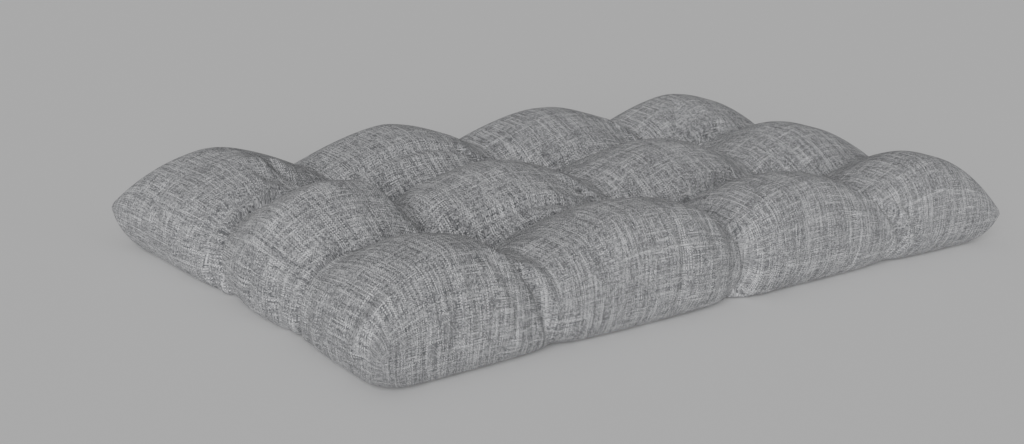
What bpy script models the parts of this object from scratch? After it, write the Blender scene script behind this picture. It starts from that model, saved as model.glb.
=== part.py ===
"""Tufted pallet cushion: one filled solid of cloth, four lobes long and three lobes deep.

Metres, +Z up. The origin is the bottom centre: +X runs along the length, +Y along the depth,
and the cushion lies on its back on Z = 0.
"""
from collections import namedtuple
from math import cos, exp, hypot, pi, sin, sqrt

import bmesh
import bpy

# Driving dimensions
LENGTH = 1.20
DEPTH = 0.60
HEIGHT = 0.15

# Section of a side: it leaves the floor, bulges out, and rolls over to the crown of a lobe
BULGE_HEIGHT = 0.052
FOOT_INSET = 0.030
LEFT_ROLL = 0.155
RIGHT_ROLL = 0.210
SIDE_ROLL = 0.068
CORNER_RADIUS = 0.022

# Troughs between the lobes. Each runs through its tufts and leans a little, as a row of
# hand-pulled tufts does. A column runs across the depth, and a row runs along the length.
Trough = namedtuple("Trough", "place lean depth")
COLUMNS = (
    Trough(place=-0.340, lean=-0.004, depth=0.040),
    Trough(place=-0.036, lean=-0.012, depth=0.034),
    Trough(place=0.285, lean=-0.022, depth=0.040),
)
ROWS = (
    Trough(place=-0.114, lean=-0.006, depth=0.046),
    Trough(place=0.103, lean=0.030, depth=0.042),
)
TROUGH_CURVE = 1.6

# Where a column crosses a row, a tuft holds the two faces of the cushion together
TUFT_DEPTH = 0.021
TUFT_RADIUS = 0.037

# How far a trough draws in the side, at the foot and at the bulge, and how far the middle of
# a side is drawn in from its corners
FOOT_PULL = 0.004
BULGE_PULL = 0.007
PULL_CURVE = 3.5
WAIST_PULL = 0.006

# Underside: pads that lie flat on the floor, parted by shallow grooves under the troughs
GROOVE_LIFT = 0.004
GROOVE_WIDTH = 0.040

# Crown height of each lobe, by row from the front (-Y) to the back
Crowns = namedtuple("Crowns", "first second third fourth")
CROWNS = (
    Crowns(first=0.1410, second=0.1425, third=0.1435, fourth=0.1490),
    Crowns(first=0.1455, second=0.1385, third=0.1385, fourth=0.1425),
    Crowns(first=0.1335, second=0.1390, third=0.1390, fourth=0.1410),
)

# Grid of the cage, in steps for each lobe and up the foot of a side
STEPS_ACROSS_LOBE = 6
STEPS_UP_FOOT = 3
CAGE_SMOOTHING = 1

CLOTH_COLOUR = (0.235, 0.240, 0.250, 1.0)
CLOTH_ROUGHNESS = 0.92


def clear_scene():
    for item in list(bpy.data.objects):
        bpy.data.objects.remove(item, do_unlink=True)


def stations(half, troughs, low_roll, high_roll):
    """Places of the grid lines along one axis, close together at the rims and the troughs."""
    steps = STEPS_ACROSS_LOBE
    turns = steps // 2
    low, high = troughs[0].place, troughs[-1].place
    places = [-half + low_roll * (1 - cos(pi / 2 * k / turns)) for k in range(turns + 1)]
    crown = places[-1]
    places += [crown + (low - crown) * sin(pi / 2 * k / turns) for k in range(1, turns + 1)]
    for left, right in zip(troughs, troughs[1:]):
        middle, reach = (left.place + right.place) / 2, (right.place - left.place) / 2
        places += [middle - reach * cos(pi * k / steps) for k in range(1, steps + 1)]
    crown = half - high_roll
    places += [crown + (high - crown) * cos(pi / 2 * k / turns) for k in range(1, turns + 1)]
    places += [half - high_roll * (1 - sin(pi / 2 * k / turns)) for k in range(1, turns + 1)]
    return places


def rise(inset, roll):
    """Share of its full height that the cloth has reached at this inset from the rim."""
    left = max(0.0, 1 - inset / roll)
    return sqrt(max(0.0, 1 - left * left))


def closeness(place, along, troughs, reach, curve):
    """1 on a trough, falling to 0 half a lobe away, with the trough that is nearest."""
    nearest = min(troughs, key=lambda t: abs(place - t.place - t.lean * along))
    away = abs(place - nearest.place - nearest.lean * along)
    return max(0.0, 1 - away / reach) ** curve, nearest


def end_roll(x):
    """The left end rolls over more tightly than the right one."""
    return LEFT_ROLL if x < 0 else RIGHT_ROLL


def crown_height(x, y):
    """Height between the lobes' crowns, blended from the table."""
    column = min(max((x / LENGTH + 0.5) * 4 - 0.5, 0.0), 3.0)
    row = min(max((y / DEPTH + 0.5) * 3 - 0.5, 0.0), 2.0)
    i, j = min(int(column), 2), min(int(row), 1)
    s, t = column - i, row - j
    front = CROWNS[j][i] * (1 - s) + CROWNS[j][i + 1] * s
    back = CROWNS[j + 1][i] * (1 - s) + CROWNS[j + 1][i + 1] * s
    return front * (1 - t) + back * t


def top_height(x, y):
    """Height of the upper face: crowns, less the troughs and tufts, rolled down at the rims."""
    half_x, half_y = LENGTH / 2, DEPTH / 2
    column_share, column = closeness(x, y, COLUMNS, LENGTH / 8, TROUGH_CURVE)
    row_share, row = closeness(y, x, ROWS, DEPTH / 6, TROUGH_CURVE)
    away = hypot(x - column.place - column.lean * y, y - row.place - row.lean * x)
    full = crown_height(x, y) - column.depth * column_share - row.depth * row_share
    full -= TUFT_DEPTH * exp(-(away / TUFT_RADIUS) ** 1.5)
    rolled = rise(half_x - abs(x), end_roll(x)) * rise(half_y - abs(y), SIDE_ROLL)
    return BULGE_HEIGHT + (full - BULGE_HEIGHT) * rolled


def groove_height(x, y):
    """Height of the underside: nothing on the pads, a little in the grooves between them."""
    column_share = closeness(x, y, COLUMNS, GROOVE_WIDTH, TROUGH_CURVE)[0]
    row_share = closeness(y, x, ROWS, GROOVE_WIDTH, TROUGH_CURVE)[0]
    return GROOVE_LIFT * max(column_share, row_share)


def outline(x, y, level):
    """Move a plan point to the real outline: round corners and drawn-in sides."""
    inset = FOOT_INSET * (1 - sin(pi / 2 * level))
    pull = FOOT_PULL + (BULGE_PULL - FOOT_PULL) * level
    half_x, half_y = LENGTH / 2, DEPTH / 2
    share_x = max(0.0, (abs(x) - half_x + CORNER_RADIUS) / CORNER_RADIUS)
    share_y = max(0.0, (abs(y) - half_y + CORNER_RADIUS) / CORNER_RADIUS)
    reach_x = abs(x) - CORNER_RADIUS * share_x * (1 - sqrt(1 - share_y ** 2 / 2))
    reach_y = abs(y) - CORNER_RADIUS * share_y * (1 - sqrt(1 - share_x ** 2 / 2))
    near_end = max(0.0, 1 - (half_x - abs(x)) / end_roll(x))
    near_side = max(0.0, 1 - (half_y - abs(y)) / SIDE_ROLL)
    end_pull = closeness(y, x, ROWS, DEPTH / 6, PULL_CURVE)[0] * pull
    side_pull = closeness(x, y, COLUMNS, LENGTH / 8, PULL_CURVE)[0] * pull
    end_pull += WAIST_PULL * (1 - (y / half_y) ** 2)
    side_pull += WAIST_PULL * (1 - (x / half_x) ** 2)
    reach_x -= near_end * end_pull + inset * reach_x / half_x
    reach_y -= near_side * side_pull + inset * reach_y / half_y
    return (reach_x if x >= 0 else -reach_x), (reach_y if y >= 0 else -reach_y)


def inflate(x, y, level):
    """Cushion point for a cage point. The level runs from 0 at the floor to 1 at the bulge."""
    px, py = outline(x, y, level)
    if level >= 1:
        return px, py, top_height(x, y)
    low = groove_height(x, y)
    return px, py, low + (BULGE_HEIGHT - low) * (1 - cos(pi / 2 * level))


def make_cage(columns, rows):
    """A cube cut into the cage's grid, with its points moved to the cushion's surface."""
    cage = bmesh.new()
    bmesh.ops.create_cube(cage, size=2.0)
    steps = (len(columns) - 1, len(rows) - 1, STEPS_UP_FOOT)
    for axis, cuts in enumerate(steps):
        along = [e for e in cage.edges if abs(e.verts[0].co[axis] - e.verts[1].co[axis]) > 1.9]
        bmesh.ops.subdivide_edges(cage, edges=along, cuts=cuts - 1, use_grid_fill=True)
    for point in cage.verts:
        i, j, k = (round((point.co[axis] + 1) / 2 * steps[axis]) for axis in range(3))
        point.co = inflate(columns[i], rows[j], k / STEPS_UP_FOOT)
    return cage


def fit_to_size(cushion):
    """Scale the cage so that the smoothed cushion has its stated length, depth and height."""
    bpy.context.view_layer.update()
    smooth = cushion.evaluated_get(bpy.context.evaluated_depsgraph_get()).to_mesh()
    corners = [[pick(v.co[axis] for v in smooth.vertices) for pick in (min, max)] for axis in range(3)]
    for point in cushion.data.vertices:
        for axis, size in enumerate((LENGTH, DEPTH, HEIGHT)):
            low, high = corners[axis]
            centre = (low + high) / 2 if axis < 2 else low
            point.co[axis] = (point.co[axis] - centre) * size / (high - low)


def cloth_material():
    cloth = bpy.data.materials.new("grey_woven_cloth")
    cloth.use_nodes = True
    shader = cloth.node_tree.nodes["Principled BSDF"]
    shader.inputs["Base Color"].default_value = CLOTH_COLOUR
    shader.inputs["Roughness"].default_value = CLOTH_ROUGHNESS
    return cloth


def make_cushion(collection):
    columns = stations(LENGTH / 2, COLUMNS, LEFT_ROLL, RIGHT_ROLL)
    rows = stations(DEPTH / 2, ROWS, SIDE_ROLL, SIDE_ROLL)
    mesh = bpy.data.meshes.new("cushion")
    cage = make_cage(columns, rows)
    cage.to_mesh(mesh)
    cage.free()
    mesh.materials.append(cloth_material())
    mesh.shade_smooth()
    cushion = bpy.data.objects.new("cushion", mesh)
    collection.objects.link(cushion)
    smoothing = cushion.modifiers.new("smoothing", "SUBSURF")
    smoothing.levels = CAGE_SMOOTHING
    smoothing.render_levels = CAGE_SMOOTHING
    fit_to_size(cushion)
    return cushion


def main():
    clear_scene()
    collection = bpy.data.collections.new("pallet_cushion")
    bpy.context.scene.collection.children.link(collection)
    make_cushion(collection)


main()
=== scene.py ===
"""Looks of the tufted pallet cushion: its puffed cloth shell, woven finish, floor, light and camera.

Metres, +Z up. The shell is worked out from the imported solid's box, so it keeps that solid's size.
Cloth coordinates (u, v) are measured along the cloth in metres from the middle of the upper face.
They place the folds. Thread coordinates are nearly the same but even, so that threads run straight.
"""
from collections import namedtuple
from math import cos, pi, radians, sin

import bmesh
import bpy
import numpy as np
from mathutils import Matrix, Vector

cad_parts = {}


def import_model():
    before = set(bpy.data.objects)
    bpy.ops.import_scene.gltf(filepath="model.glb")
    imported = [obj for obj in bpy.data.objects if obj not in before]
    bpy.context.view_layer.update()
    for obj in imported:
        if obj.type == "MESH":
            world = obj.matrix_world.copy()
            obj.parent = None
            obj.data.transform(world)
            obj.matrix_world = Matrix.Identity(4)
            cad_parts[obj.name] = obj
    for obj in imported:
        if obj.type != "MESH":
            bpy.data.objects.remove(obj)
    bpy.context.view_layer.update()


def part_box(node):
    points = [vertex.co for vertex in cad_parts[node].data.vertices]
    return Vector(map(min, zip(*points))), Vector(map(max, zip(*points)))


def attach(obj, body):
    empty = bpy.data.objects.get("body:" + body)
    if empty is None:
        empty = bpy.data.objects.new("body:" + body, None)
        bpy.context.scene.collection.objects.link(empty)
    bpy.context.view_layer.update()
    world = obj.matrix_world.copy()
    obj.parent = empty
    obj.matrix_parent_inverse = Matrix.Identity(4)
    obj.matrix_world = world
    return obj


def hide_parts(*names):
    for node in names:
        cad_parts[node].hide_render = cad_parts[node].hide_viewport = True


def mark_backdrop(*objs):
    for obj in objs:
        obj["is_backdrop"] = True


# Section of a side: it leaves the floor, bulges out, and rolls over to the crown of a lobe.
# A roll is how far in from the rim the cloth reaches its full height
BULGE_HEIGHT = 0.050
FOOT_INSET = 0.035
LEFT_ROLL = 0.155
RIGHT_ROLL = 0.215
SIDE_ROLL = 0.062

# Corners of the outline seen from above, at the bulge and at the floor
CORNER_RADIUS = 0.007
FOOT_CORNER_RADIUS = 0.055

# Lobes along the length and across the depth
LOBES_LONG = 4
LOBES_DEEP = 3

# Troughs between the lobes. A column runs across the depth and a row runs along the length.
# foot is where it reaches the floor at the front or the left, near its rim there, middle is
# halfway, and far its other rim. pull is how far it draws in the side at its ends
Trough = namedtuple("Trough", "foot near middle far depth pull")
COLUMNS = (
    Trough(foot=-0.342, near=-0.345, middle=-0.340, far=-0.350, depth=0.044, pull=0.006),
    Trough(foot=-0.012, near=0.003, middle=-0.036, far=-0.062, depth=0.040, pull=0.008),
    Trough(foot=0.350, near=0.305, middle=0.285, far=0.263, depth=0.042, pull=0.006),
)
ROWS = (
    Trough(foot=-0.116, near=-0.108, middle=-0.114, far=-0.118, depth=0.048, pull=0.024),
    Trough(foot=0.036, near=0.070, middle=0.110, far=0.118, depth=0.046, pull=0.034),
)
TROUGH_CURVE = 1.6

# A tuft where a column crosses a row
TUFT_DEPTH = 0.021
TUFT_RADIUS = 0.037
TUFT_CURVE = 1.5

# How sharply a trough draws in the side, and the shares of a row's pull at the floor and at the
# right end. The waist's pull is how far a side's middle is drawn in from its corners
PULL_CURVE = 2.6
FOOT_PULL = 0.3
RIGHT_PULL = 0.55
WAIST_PULL = 0.006

# Underside: flat pads parted by shallow grooves
GROOVE_LIFT = 0.004
GROOVE_WIDTH = 0.040

# Crown height of each lobe, by row from the front (-Y) to the back
Crowns = namedtuple("Crowns", "first second third fourth")
CROWNS = (
    Crowns(first=0.1410, second=0.1425, third=0.1435, fourth=0.1480),
    Crowns(first=0.1510, second=0.1385, third=0.1385, fourth=0.1425),
    Crowns(first=0.1335, second=0.1390, third=0.1390, fourth=0.1410),
)

# Folds pressed into the cloth, each an arc through three places (u, v). Below a v of about -0.35
# the cloth runs on down the front side, and below a u of about -0.65 down the left end. A fold
# with a negative depth stands proud
Fold = namedtuple("Fold", "start middle end width depth")
FOLDS = (
    # front side, from the left: between the first and second lobes
    Fold((-0.457, -0.262), (-0.388, -0.307), (-0.350, -0.425), 0.007, 0.007),
    Fold((-0.455, -0.285), (-0.430, -0.320), (-0.405, -0.365), 0.008, 0.003),
    Fold((-0.520, -0.292), (-0.507, -0.327), (-0.502, -0.410), 0.007, 0.002),
    Fold((-0.565, -0.285), (-0.548, -0.320), (-0.541, -0.395), 0.006, 0.0015),
    Fold((-0.490, -0.310), (-0.477, -0.335), (-0.468, -0.365), 0.006, 0.0015),
    Fold((-0.445, -0.415), (-0.425, -0.385), (-0.405, -0.350), 0.006, 0.002),
    # the second lobe's own pleats
    Fold((-0.292, -0.290), (-0.270, -0.330), (-0.265, -0.375), 0.007, 0.002),
    Fold((-0.222, -0.335), (-0.200, -0.370), (-0.195, -0.420), 0.006, 0.002),
    Fold((-0.160, -0.285), (-0.140, -0.340), (-0.152, -0.420), 0.007, 0.003),
    # between the second and third lobes
    Fold((-0.105, -0.280), (-0.078, -0.330), (-0.060, -0.420), 0.010, 0.003),
    Fold((-0.030, -0.255), (0.004, -0.350), (-0.006, -0.440), 0.009, 0.007),
    # hollows beside the front creases
    Fold((-0.385, -0.180), (-0.396, -0.285), (-0.358, -0.400), 0.024, 0.007),
    Fold((-0.034, -0.160), (-0.014, -0.300), (-0.020, -0.440), 0.040, 0.011),
    # the third lobe's own pleats
    Fold((0.065, -0.310), (0.094, -0.365), (0.106, -0.420), 0.006, 0.003),
    Fold((0.200, -0.315), (0.226, -0.363), (0.222, -0.420), 0.007, 0.002),
    # between the third and fourth lobes
    Fold((0.245, -0.275), (0.316, -0.330), (0.362, -0.430), 0.008, 0.009),
    Fold((0.345, -0.310), (0.366, -0.355), (0.392, -0.425), 0.006, 0.005),
    # left end, from the back
    Fold((-0.590, 0.240), (-0.630, 0.210), (-0.665, 0.190), 0.008, 0.003),
    Fold((-0.620, 0.150), (-0.650, 0.150), (-0.695, 0.148), 0.007, 0.003),
    Fold((-0.495, 0.138), (-0.606, 0.074), (-0.722, 0.030), 0.009, 0.012),
    Fold((-0.500, 0.148), (-0.604, 0.112), (-0.716, 0.082), 0.007, 0.006),
    Fold((-0.630, -0.030), (-0.665, -0.034), (-0.695, -0.036), 0.006, 0.003),
    Fold((-0.600, -0.068), (-0.648, -0.078), (-0.695, -0.082), 0.007, 0.004),
    Fold((-0.540, -0.112), (-0.628, -0.126), (-0.722, -0.122), 0.009, 0.012),
    Fold((-0.600, -0.195), (-0.650, -0.190), (-0.695, -0.185), 0.007, 0.003),
    # the mitre at the near corner
    Fold((-0.570, -0.287), (-0.630, -0.270), (-0.690, -0.244), 0.008, -0.005),
    # upper face, middle row
    Fold((-0.340, -0.078), (-0.250, -0.094), (-0.130, -0.098), 0.007, 0.007),
    Fold((-0.330, -0.103), (-0.285, -0.108), (-0.220, -0.106), 0.006, 0.004),
    Fold((-0.140, -0.040), (-0.105, -0.062), (-0.065, -0.088), 0.008, 0.006),
    Fold((0.230, -0.080), (0.145, -0.110), (0.050, -0.118), 0.010, 0.007),
    Fold((-0.360, 0.095), (-0.384, -0.005), (-0.365, -0.115), 0.026, 0.012),
    # upper face, back row
    Fold((-0.475, 0.205), (-0.450, 0.160), (-0.400, 0.125), 0.010, 0.004),
    Fold((-0.530, 0.148), (-0.470, 0.158), (-0.400, 0.165), 0.018, 0.008),
    Fold((-0.350, 0.195), (-0.250, 0.178), (-0.110, 0.176), 0.008, 0.005),
    Fold((-0.150, 0.190), (-0.120, 0.168), (-0.085, 0.140), 0.007, 0.005),
    Fold((-0.090, 0.195), (-0.076, 0.168), (-0.060, 0.140), 0.006, 0.004),
    Fold((-0.020, 0.205), (-0.012, 0.170), (-0.025, 0.130), 0.007, 0.004),
    Fold((0.110, 0.148), (0.065, 0.132), (0.015, 0.118), 0.007, 0.005),
    Fold((0.190, 0.220), (0.235, 0.185), (0.265, 0.145), 0.009, 0.007),
    Fold((0.410, 0.245), (0.378, 0.200), (0.340, 0.160), 0.009, 0.006),
    Fold((0.450, 0.200), (0.390, 0.165), (0.325, 0.135), 0.007, 0.004),
    Fold((0.490, 0.150), (0.410, 0.135), (0.330, 0.118), 0.010, 0.008),
)

# A fold's raised shoulders as a share of its depth, and how many widths away they stand. The share
# of its length that fades out at each tip, and the share of its width that is left there. How many
# widths away it still acts, and its arc's samples
FOLD_SHOULDER = 0.35
SHOULDER_AWAY = 2
FOLD_FADE = 0.22
FOLD_TIP = 0.6
FOLD_REACH = 5
FOLD_SAMPLES = 16

# Pleats that fan out from each tuft: how many in a full turn, for each of the waves added up, and
# how the waves turn from one tuft to the next, by its column and its row
PLEATS = (5, 9)
PLEAT_DEPTH = 0.0022
PLEAT_REACH = 0.075
COLUMN_TURN = 9
ROW_TURN = 5

# Steps of the shell's mesh along the length, across the depth, and down a side, and how far the
# steps crowd towards the rims
STEPS_LONG = 316
STEPS_DEEP = 178
STEPS_DOWN = 20
RIM_CROWDING = 0.12

# Points nearer than this are one point. Below this height, faces within this angle become one
MERGE_DISTANCE = 1e-5
FLAT_HEIGHT = 1e-6
FLAT_ANGLE = 1.0

# Weave: the crown height that thread coordinates are laid over, the threads' pitch, and how far
# they sway from a straight line
THREAD_CROWN = 0.14
THREAD_PITCH = 0.0015
THREAD_SWAY = 0.0030
SWAY_SCALE = 9.0

# What makes up a thread's tone: its own shade, long slubs that are paler still above a level,
# short flecks, and a little at each crossing. NEXT_THREAD parts neighbours in the noise. The sum
# is then stretched, shifted and curved between the dark and the light yarn
SLUB_LENGTH = 0.050
FLECK_LENGTH = 0.007
NEXT_THREAD = 7.31
NOISE_DETAIL = 1.0
OWN_TONE = 0.20
SLUB_TONE = 0.55
PALE_TONE = 1.80
PALE_LEVEL = 0.55
FLECK_TONE = 0.55
CROSSING_TONE = 0.27

# The warp runs across the depth. Its tones vary more than the weft's, so it shows more
Tones = namedtuple("Tones", "spread shift seed")
WARP_TONES = Tones(spread=0.95, shift=0.00, seed=3.0)
WEFT_TONES = Tones(spread=0.70, shift=0.06, seed=517.0)
YARN_CONTRAST = 1.85
YARN_SHIFT = -0.888
YARN_CURVE = 1.5
DARK_YARN = (0.108, 0.110, 0.116, 1)
LIGHT_YARN = (0.740, 0.742, 0.758, 1)

# Relief and finish of the cloth
BUMP_HEIGHT = THREAD_PITCH / 3
BUMP_STRENGTH = 0.7
CLOTH_FINISH = {
    "Roughness": 0.92,
    "Specular IOR Level": 0.15,
    "Sheen Weight": 0.10,
    "Sheen Roughness": 0.5,
}

# Floor
FLOOR_REACH = 12.0
FLOOR_FINISH = {"Base Color": (0.86, 0.86, 0.86, 1), "Roughness": 0.9}

# Light: one broad sun, with its angles in degrees, and an even sky
KEY_AZIMUTH = -49.0
KEY_ELEVATION = 18.0
KEY_SPREAD = 45.0
KEY_STRENGTH = 2.85
SKY_STRENGTH = 0.30

# Camera: angles in degrees, lens and sensor in millimetres. Azimuth 0 is in front of the cushion
CAMERA_AZIMUTH = -46.273
CAMERA_ELEVATION = 17.174
CAMERA_DISTANCE = 2.007
CAMERA_PAN = 3.345
CAMERA_TILT = 0.572
CAMERA_ROLL = 6.08
CAMERA_LENS = 48.75
SENSOR_WIDTH = 36.0


def rise(inset, roll):
    """Share of its full height that the cloth has reached at this inset from the rim."""
    left = np.clip(1 - inset / roll, 0, 1)
    return np.sqrt(np.clip(1 - left * left, 0, 1))


def to_trough(place, along, level, troughs, key="depth"):
    """Signed distance to the nearest trough, and that trough's depth or pull.

    The share along the trough runs from -1 at its near rim to 1 at its far rim."""
    foot, near, middle, far = np.array([trough[:4] for trough in troughs]).T
    along, drop = along[..., None], 1 - np.asarray(level)[..., None]
    before, after = np.clip(-along, 0, 1), np.clip(along, 0, 1)
    lines = middle + (near - middle) * before ** 2 + (far - middle) * after ** 2
    lines = lines + (foot - near) * drop * before
    aways = place[..., None] - lines
    nearest = np.abs(aways).argmin(-1)
    away = np.take_along_axis(aways, nearest[..., None], -1)[..., 0]
    return away, np.array([getattr(trough, key) for trough in troughs])[nearest]


def closeness(away, reach, curve):
    """1 on a trough, falling to 0 at this reach from it."""
    return np.clip(1 - np.abs(away) / reach, 0, 1) ** curve


def crown_height(x, y, half_x, half_y):
    """Height between the lobes' crowns, blended from the table."""
    crowns = np.array(CROWNS)
    column = np.clip((x / half_x + 1) * LOBES_LONG / 2 - 0.5, 0, LOBES_LONG - 1)
    row = np.clip((y / half_y + 1) * LOBES_DEEP / 2 - 0.5, 0, LOBES_DEEP - 1)
    i = np.minimum(column.astype(int), LOBES_LONG - 2)
    j = np.minimum(row.astype(int), LOBES_DEEP - 2)
    s, t = column - i, row - j
    front = crowns[j, i] * (1 - s) + crowns[j, i + 1] * s
    back = crowns[j + 1, i] * (1 - s) + crowns[j + 1, i + 1] * s
    return front * (1 - t) + back * t


def top_height(x, y, half_x, half_y):
    """Height of the upper face: crowns, less the troughs and tufts, rolled down at the rims."""
    from_column, column_depth = to_trough(x, y / half_y, 1, COLUMNS)
    from_row, row_depth = to_trough(y, x / half_x, 1, ROWS)
    full = crown_height(x, y, half_x, half_y)
    full = full - column_depth * closeness(from_column, half_x / LOBES_LONG, TROUGH_CURVE)
    full = full - row_depth * closeness(from_row, half_y / LOBES_DEEP, TROUGH_CURVE)
    from_tuft = np.hypot(from_column, from_row)
    full = full - TUFT_DEPTH * np.exp(-(from_tuft / TUFT_RADIUS) ** TUFT_CURVE)
    end_roll = np.where(x < 0, LEFT_ROLL, RIGHT_ROLL)
    rolled = rise(half_x - np.abs(x), end_roll) * rise(half_y - np.abs(y), SIDE_ROLL)
    return BULGE_HEIGHT + (full - BULGE_HEIGHT) * rolled


def groove_height(x, y, half_x, half_y):
    """Height of the underside: nothing on the pads, a little in the grooves between them."""
    from_column = np.abs(to_trough(x, y / half_y, 0, COLUMNS)[0])
    from_row = np.abs(to_trough(y, x / half_x, 0, ROWS)[0])
    nearest = np.minimum(from_column, from_row)
    return GROOVE_LIFT * closeness(nearest, GROOVE_WIDTH, TROUGH_CURVE)


def outline(x, y, level, half_x, half_y):
    """Move plan points to the real outline: round corners and drawn-in sides."""
    inset = FOOT_INSET * (1 - np.sin(pi / 2 * level))
    radius = FOOT_CORNER_RADIUS + (CORNER_RADIUS - FOOT_CORNER_RADIUS) * level
    share_x = np.clip((np.abs(x) - half_x + radius) / radius, 0, 1)
    share_y = np.clip((np.abs(y) - half_y + radius) / radius, 0, 1)
    reach_x = np.abs(x) - radius * share_x * (1 - np.sqrt(1 - share_y ** 2 / 2))
    reach_y = np.abs(y) - radius * share_y * (1 - np.sqrt(1 - share_x ** 2 / 2))
    end_roll = np.where(x < 0, LEFT_ROLL, RIGHT_ROLL)
    near_end = np.clip(1 - (half_x - np.abs(x)) / end_roll, 0, 1)
    near_side = np.clip(1 - (half_y - np.abs(y)) / SIDE_ROLL, 0, 1)
    from_row, end_pull = to_trough(y, x / half_x, level, ROWS, "pull")
    from_column, side_pull = to_trough(x, y / half_y, level, COLUMNS, "pull")
    end_pull = end_pull * closeness(from_row, half_y / LOBES_DEEP, PULL_CURVE)
    end_pull = end_pull * (FOOT_PULL + (1 - FOOT_PULL) * level) * np.where(x < 0, 1, RIGHT_PULL)
    side_pull = side_pull * closeness(from_column, half_x / LOBES_LONG, PULL_CURVE)
    end_pull = end_pull + WAIST_PULL * (1 - (y / half_y) ** 2)
    side_pull = side_pull + WAIST_PULL * (1 - (x / half_x) ** 2)
    reach_x = reach_x - near_end * end_pull - inset * reach_x / half_x
    reach_y = reach_y - near_side * side_pull - inset * reach_y / half_y
    return np.sign(x) * reach_x, np.sign(y) * reach_y


def surface(x, y, level, half_x, half_y):
    """Points of the shell for plan points at a level: 0 at the floor, 1 at the bulge and above."""
    px, py = outline(x, y, level, half_x, half_y)
    low = groove_height(x, y, half_x, half_y)
    side = low + (BULGE_HEIGHT - low) * (1 - np.cos(pi / 2 * level))
    height = np.where(level >= 1, top_height(x, y, half_x, half_y), side)
    return np.stack([px, py, height], -1)


def stations(half, steps):
    """Places of the mesh lines along one axis, close together at both rims."""
    even = np.linspace(-1, 1, steps + 1)
    return half * (even + RIM_CROWDING * np.sin(pi * even))


def run_lengths(points, axis):
    """Length along the cloth from the middle line, for a grid of points."""
    steps = np.linalg.norm(np.diff(points, axis=axis), axis=-1)
    before = np.zeros_like(np.take(steps, [0], axis=axis))
    lengths = np.concatenate([before, np.cumsum(steps, axis=axis)], axis=axis)
    middle = np.take(lengths, [lengths.shape[axis] // 2], axis=axis)
    return lengths - middle


def thread_places(places, half, low_roll, high_roll):
    """Where threads cross an axis: measured along a plain rolled section, so they run straight."""
    heights = rise(half - np.abs(places), np.where(places < 0, low_roll, high_roll))
    points = np.stack([places, heights * (THREAD_CROWN - BULGE_HEIGHT)], -1)
    return run_lengths(points, 0)


def make_patches(half_x, half_y):
    """The shell as grids of points: top, underside and four lower sides.

    Each has its cloth coordinates, its thread coordinates, and whether its faces are flipped."""
    xs, ys = stations(half_x, STEPS_LONG), stations(half_y, STEPS_DEEP)
    x, y = np.meshgrid(xs, ys, indexing="ij")
    one = np.ones_like(x)
    top = surface(x, y, one, half_x, half_y)
    cloth = np.stack([run_lengths(top, 0), run_lengths(top, 1)], -1)
    across = thread_places(xs, half_x, LEFT_ROLL, RIGHT_ROLL)
    along = thread_places(ys, half_y, SIDE_ROLL, SIDE_ROLL)
    thread = np.stack(np.meshgrid(across, along, indexing="ij"), -1)
    under = surface(x, y, one * 0, half_x, half_y)
    patches = [(top, cloth, thread, False), (under, under[..., :2], under[..., :2], True)]
    levels = np.linspace(1, 0, STEPS_DOWN + 1)
    for end, sign in ((0, -1), (-1, 1)):
        sx, level = np.meshgrid(xs, levels, indexing="ij")
        side = surface(sx, ys[end] * np.ones_like(sx), level, half_x, half_y)
        down = run_lengths(side, 1)
        drop = np.stack([0 * down, sign * (down - down[:, :1])], -1)
        patches.append((side, cloth[:, [end]] + drop, thread[:, [end]] + drop, end == 0))
        sy, level = np.meshgrid(ys, levels, indexing="ij")
        side = surface(xs[end] * np.ones_like(sy), sy, level, half_x, half_y)
        down = run_lengths(side, 1)
        drop = np.stack([sign * (down - down[:, :1]), 0 * down], -1)
        patches.append((side, cloth[end][:, None] + drop, thread[end][:, None] + drop, end != 0))
    return patches


def make_shell(low, high):
    """Mesh object of the whole shell, with UV maps of its cloth and thread coordinates."""
    size = high - low
    half_x, half_y = size.x / 2, size.y / 2
    points, faces, cloths, threads = [], [], [], []
    start = 0
    for grid, cloth, thread, flipped in make_patches(half_x, half_y):
        rows, columns = grid.shape[:2]
        index = start + np.arange(rows * columns).reshape(rows, columns)
        corners = index[:-1, :-1], index[1:, :-1], index[1:, 1:], index[:-1, 1:]
        quads = np.stack(corners, -1).reshape(-1, 4)
        if flipped:
            quads = quads[:, ::-1]
        points.append(grid.reshape(-1, 3))
        cloths.append(cloth.reshape(-1, 2))
        threads.append(thread.reshape(-1, 2))
        faces.append(quads)
        start += rows * columns
    points, faces = np.concatenate(points), np.concatenate(faces)
    mesh = bpy.data.meshes.new("cushion_shell")
    mesh.from_pydata(points.tolist(), [], faces.tolist())
    for name, coords in (("cloth", cloths), ("thread", threads)):
        uvs = np.concatenate(coords)[faces.ravel()]
        mesh.uv_layers.new(name=name).data.foreach_set("uv", uvs.ravel().astype(np.float32))
    shell = bmesh.new()
    shell.from_mesh(mesh)
    bmesh.ops.remove_doubles(shell, verts=shell.verts, dist=MERGE_DISTANCE)
    merge_flat_faces(shell)
    shell.to_mesh(mesh)
    shell.free()
    mesh.shade_smooth()
    cushion = bpy.data.objects.new("cushion_shell", mesh)
    bpy.context.scene.collection.objects.link(cushion)
    return cushion


def merge_flat_faces(shell):
    """Join the faces of the flat pads on the underside, where small ones show nothing."""
    low = [v for v in shell.verts if v.co.z < FLAT_HEIGHT]
    flat = [e for e in shell.edges if max(v.co.z for v in e.verts) < FLAT_HEIGHT]
    bmesh.ops.dissolve_limit(shell, angle_limit=radians(FLAT_ANGLE), verts=low, edges=flat)


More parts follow.
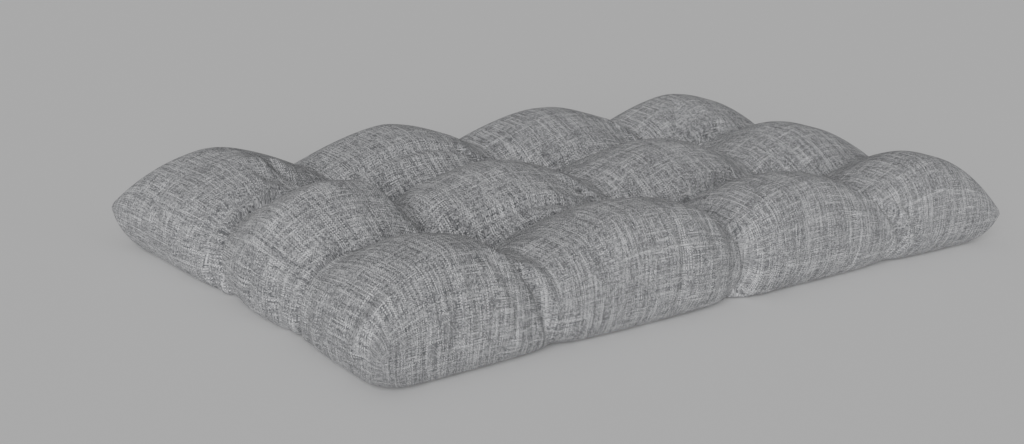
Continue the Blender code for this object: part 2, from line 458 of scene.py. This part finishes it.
def cloth_places(mesh):
    """Mean cloth coordinates of each vertex."""
    corners = np.empty(len(mesh.loops), int)
    mesh.loops.foreach_get("vertex_index", corners)
    coords = np.empty(len(mesh.loops) * 2)
    mesh.uv_layers["cloth"].data.foreach_get("uv", coords)
    coords = coords.reshape(-1, 2)
    count = np.bincount(corners, minlength=len(mesh.vertices))
    sums = [np.bincount(corners, coords[:, k], len(mesh.vertices)) for k in range(2)]
    return np.stack(sums, -1) / np.maximum(count, 1)[:, None]


def fold_depth(places, fold):
    """How far one fold presses in the cloth at each place: a groove with soft shoulders."""
    share = np.linspace(0, 1, FOLD_SAMPLES)[:, None]
    start, middle, end = (np.array(place) for place in (fold.start, fold.middle, fold.end))
    bow = 2 * middle - (start + end) / 2
    arc = start * (1 - share) ** 2 + 2 * bow * share * (1 - share) + end * share ** 2
    reach = FOLD_REACH * fold.width
    inside = (places > arc.min(0) - reach) & (places < arc.max(0) + reach)
    near = np.where(inside.all(1))[0]
    best, along = np.full(len(near), np.inf), np.zeros(len(near))
    for k, (a, b) in enumerate(zip(arc, arc[1:])):
        run = b - a
        t = np.clip((places[near] - a) @ run / (run @ run), 0, 1)
        away = np.linalg.norm(places[near] - a - t[:, None] * run, axis=1)
        closer = away < best
        best[closer] = away[closer]
        along[closer] = ((k + t) / (FOLD_SAMPLES - 1))[closer]
    fade = np.clip(np.minimum(along, 1 - along) / FOLD_FADE, 0, 1)
    fade = fade * fade * (3 - 2 * fade)
    width = fold.width * (FOLD_TIP + (1 - FOLD_TIP) * fade)
    groove = np.exp(-(best / width) ** 2)
    shoulder = np.exp(-((best - SHOULDER_AWAY * width) / width) ** 2)
    depth = np.zeros(len(places))
    depth[near] = fold.depth * fade * (groove - FOLD_SHOULDER * shoulder)
    return depth


def pleat_depth(points, half_x, half_y):
    """Small pleats that fan out from every tuft, turned by another phase at each."""
    x, y = points[:, 0], points[:, 1]
    from_column = to_trough(x, y / half_y, 1, COLUMNS)[0]
    from_row = to_trough(y, x / half_x, 1, ROWS)[0]
    away = np.hypot(from_column, from_row)
    turn = np.arctan2(from_row, from_column)
    # the nearest trough's place in whole tenths of a metre, so a phase belongs to one tuft
    tuft_x, tuft_y = np.round((x - from_column) * 10), np.round((y - from_row) * 10)
    phase = COLUMN_TURN * tuft_x + ROW_TURN * tuft_y
    waves = sum(np.sin(count * turn + phase * (1 + k)) for k, count in enumerate(PLEATS))
    share = away / PLEAT_REACH
    swell = share * np.exp(1 - share ** 2) * (points[:, 2] > BULGE_HEIGHT)
    return PLEAT_DEPTH * waves / len(PLEATS) * swell


def press_folds(cushion, half_x, half_y):
    """Move the cloth in along its normals where it is folded and pleated."""
    mesh = cushion.data
    points, normals = np.empty(len(mesh.vertices) * 3), np.empty(len(mesh.vertices) * 3)
    mesh.vertices.foreach_get("co", points)
    mesh.vertex_normals.foreach_get("vector", normals)
    points, normals = points.reshape(-1, 3), normals.reshape(-1, 3)
    places = cloth_places(mesh)
    depth = sum(fold_depth(places, fold) for fold in FOLDS)
    depth = depth + pleat_depth(points, half_x, half_y)
    depth[points[:, 2] < GROOVE_LIFT] = 0
    points = points - normals * depth[:, None]
    points[:, 2] = np.maximum(points[:, 2], 0)
    mesh.vertices.foreach_set("co", points.ravel())
    mesh.update()


def fit_to_box(cushion, low, high):
    """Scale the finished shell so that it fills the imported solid's box."""
    mesh = cushion.data
    points = np.empty(len(mesh.vertices) * 3)
    mesh.vertices.foreach_get("co", points)
    points = points.reshape(-1, 3)
    now_low, now_high = points.min(0), points.max(0)
    scale = (np.array(high) - np.array(low)) / (now_high - now_low)
    points = np.array(low) + (points - now_low) * scale
    mesh.vertices.foreach_set("co", points.ravel())
    mesh.update()


class Nodes:
    """Short calls that add and link shader nodes."""

    def __init__(self, material):
        material.use_nodes = True
        self.tree = material.node_tree
        self.shader = self.tree.nodes["Principled BSDF"]

    def add(self, kind, *inputs, **settings):
        node = self.tree.nodes.new(kind)
        for name, value in settings.items():
            setattr(node, name, value)
        for socket, value in zip(node.inputs, inputs):
            if value is None:
                continue
            if isinstance(value, bpy.types.NodeSocket):
                self.tree.links.new(value, socket)
            else:
                socket.default_value = value
        return node

    def math(self, operation, *inputs):
        return self.add("ShaderNodeMath", *inputs, operation=operation).outputs[0]

    def join(self, x, y, z=0.0):
        return self.add("ShaderNodeCombineXYZ", x, y, z).outputs[0]

    def noise(self, vector, scale=1.0):
        node = self.add("ShaderNodeTexNoise", noise_dimensions="3D")
        self.tree.links.new(vector, node.inputs["Vector"])
        node.inputs["Scale"].default_value = scale
        node.inputs["Detail"].default_value = NOISE_DETAIL
        return node.outputs["Fac"]

    def set_shader(self, values):
        for name, value in values.items():
            self.shader.inputs[name].default_value = value


def thread_tone(nodes, index, along, tones):
    """Tone of one thread: its own shade, with pale slubs and small flecks along it."""
    key = nodes.math("ADD", index, tones.seed)
    own = nodes.add("ShaderNodeTexWhiteNoise", None, key, noise_dimensions="1D")
    line = nodes.math("MULTIPLY_ADD", index, NEXT_THREAD, tones.seed)
    in_slubs = nodes.math("MULTIPLY", along, 1 / SLUB_LENGTH)
    in_flecks = nodes.math("MULTIPLY", along, 1 / FLECK_LENGTH)
    slubs = nodes.noise(nodes.join(line, in_slubs))
    flecks = nodes.noise(nodes.join(line, in_flecks))
    pale = nodes.math("MAXIMUM", nodes.math("SUBTRACT", slubs, PALE_LEVEL), 0.0)
    tone = nodes.math("MULTIPLY", own.outputs["Value"], OWN_TONE)
    tone = nodes.math("MULTIPLY_ADD", slubs, SLUB_TONE, tone)
    tone = nodes.math("MULTIPLY_ADD", pale, PALE_TONE, tone)
    tone = nodes.math("MULTIPLY_ADD", flecks, FLECK_TONE, tone)
    return nodes.math("MULTIPLY_ADD", tone, tones.spread, tones.shift)


def roundness(nodes, place):
    """Height across one thread: nothing at its edges and 1 in its middle."""
    return nodes.math("SINE", nodes.math("MULTIPLY", nodes.math("FRACT", place), pi))


def woven_cloth():
    """Grey melange plain weave: threads over and under, each with its own tone."""
    material = bpy.data.materials.new("grey_melange_weave")
    nodes = Nodes(material)
    coords = nodes.add("ShaderNodeUVMap", uv_map="thread").outputs["UV"]
    split = nodes.add("ShaderNodeSeparateXYZ", coords)
    u, v = split.outputs[0], split.outputs[1]
    sway = nodes.noise(coords, SWAY_SCALE)
    sway = nodes.math("MULTIPLY_ADD", sway, THREAD_SWAY, -THREAD_SWAY / 2)
    warp_place = nodes.math("MULTIPLY", nodes.math("ADD", u, sway), 1 / THREAD_PITCH)
    weft_place = nodes.math("MULTIPLY", nodes.math("ADD", v, sway), 1 / THREAD_PITCH)
    warp, weft = nodes.math("FLOOR", warp_place), nodes.math("FLOOR", weft_place)
    over = nodes.math("FLOORED_MODULO", nodes.math("ADD", warp, weft), 2.0)
    tone = nodes.add("ShaderNodeMix", over, data_type="FLOAT")
    nodes.tree.links.new(thread_tone(nodes, warp, v, WARP_TONES), tone.inputs[2])
    nodes.tree.links.new(thread_tone(nodes, weft, u, WEFT_TONES), tone.inputs[3])
    height = nodes.math("MULTIPLY", roundness(nodes, warp_place), roundness(nodes, weft_place))
    crossing = nodes.add("ShaderNodeTexWhiteNoise", nodes.join(warp, weft), noise_dimensions="3D")
    tone = nodes.math("MULTIPLY_ADD", crossing.outputs["Value"], CROSSING_TONE, tone.outputs[0])
    shade = nodes.math("MULTIPLY_ADD", tone, YARN_CONTRAST, YARN_SHIFT)
    shade = nodes.math("POWER", nodes.math("MAXIMUM", shade, 0.0), YARN_CURVE)
    ramp = nodes.add("ShaderNodeValToRGB", shade)
    ramp.color_ramp.elements[0].color = DARK_YARN
    ramp.color_ramp.elements[1].color = LIGHT_YARN
    nodes.tree.links.new(ramp.outputs["Color"], nodes.shader.inputs["Base Color"])
    bump = nodes.add("ShaderNodeBump")
    bump.inputs["Distance"].default_value = BUMP_HEIGHT
    bump.inputs["Strength"].default_value = BUMP_STRENGTH
    nodes.tree.links.new(height, bump.inputs["Height"])
    nodes.tree.links.new(bump.outputs["Normal"], nodes.shader.inputs["Normal"])
    nodes.set_shader(CLOTH_FINISH)
    return material


def pale_floor():
    """Plain matt white."""
    material = bpy.data.materials.new("pale_floor")
    Nodes(material).set_shader(FLOOR_FINISH)
    return material


def make_floor():
    """A plain pale floor under the cushion."""
    mesh = bpy.data.meshes.new("floor")
    signs = (-1, -1), (1, -1), (1, 1), (-1, 1)
    corners = [(FLOOR_REACH * a, FLOOR_REACH * b, 0) for a, b in signs]
    mesh.from_pydata(corners, [], [(0, 1, 2, 3)])
    mesh.materials.append(pale_floor())
    floor = bpy.data.objects.new("floor", mesh)
    bpy.context.scene.collection.objects.link(floor)
    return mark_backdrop(floor)


def direction(azimuth, elevation):
    """Unit vector from the middle of the cushion. Azimuth 0 is the front, at -Y."""
    azimuth, elevation = radians(azimuth), radians(elevation)
    level = cos(elevation)
    return Vector((sin(azimuth) * level, -cos(azimuth) * level, sin(elevation)))


def make_light():
    """One broad, soft and even light from the camera's side."""
    data = bpy.data.lights.new("key", "SUN")
    data.energy = KEY_STRENGTH
    data.angle = radians(KEY_SPREAD)
    light = bpy.data.objects.new("key", data)
    towards = direction(KEY_AZIMUTH, KEY_ELEVATION)
    light.rotation_euler = (-towards).to_track_quat("-Z", "Y").to_euler()
    bpy.context.scene.collection.objects.link(light)


def make_world():
    """An even white sky."""
    world = bpy.data.worlds.new("studio")
    bpy.context.scene.world = world
    world.use_nodes = True
    background = world.node_tree.nodes["Background"]
    background.inputs["Color"].default_value = (1, 1, 1, 1)
    background.inputs["Strength"].default_value = SKY_STRENGTH


def make_camera():
    """A low camera out from the front left corner, aimed at the middle, panned, tilted and rolled."""
    azimuth = radians(CAMERA_AZIMUTH)
    back = direction(CAMERA_AZIMUTH, CAMERA_ELEVATION)
    right = Vector((cos(azimuth), sin(azimuth), 0))
    up = back.cross(right)
    turn = Matrix((right, up, back)).transposed()
    turn = turn @ Matrix.Rotation(radians(CAMERA_PAN), 3, "Y")
    turn = turn @ Matrix.Rotation(radians(CAMERA_TILT), 3, "X")
    turn = turn @ Matrix.Rotation(radians(CAMERA_ROLL), 3, "Z")
    data = bpy.data.cameras.new("camera")
    data.sensor_width = SENSOR_WIDTH
    data.lens = CAMERA_LENS
    camera = bpy.data.objects.new("camera", data)
    camera.matrix_world = Matrix.Translation(back * CAMERA_DISTANCE) @ turn.to_4x4()
    bpy.context.scene.collection.objects.link(camera)
    bpy.context.scene.camera = camera


def main():
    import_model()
    low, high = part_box("cushion")
    cushion = make_shell(low, high)
    press_folds(cushion, (high.x - low.x) / 2, (high.y - low.y) / 2)
    fit_to_box(cushion, low, high)
    cushion.data.materials.append(woven_cloth())
    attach(cushion, "root")
    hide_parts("cushion")
    make_floor()
    make_world()
    make_light()
    make_camera()


main()
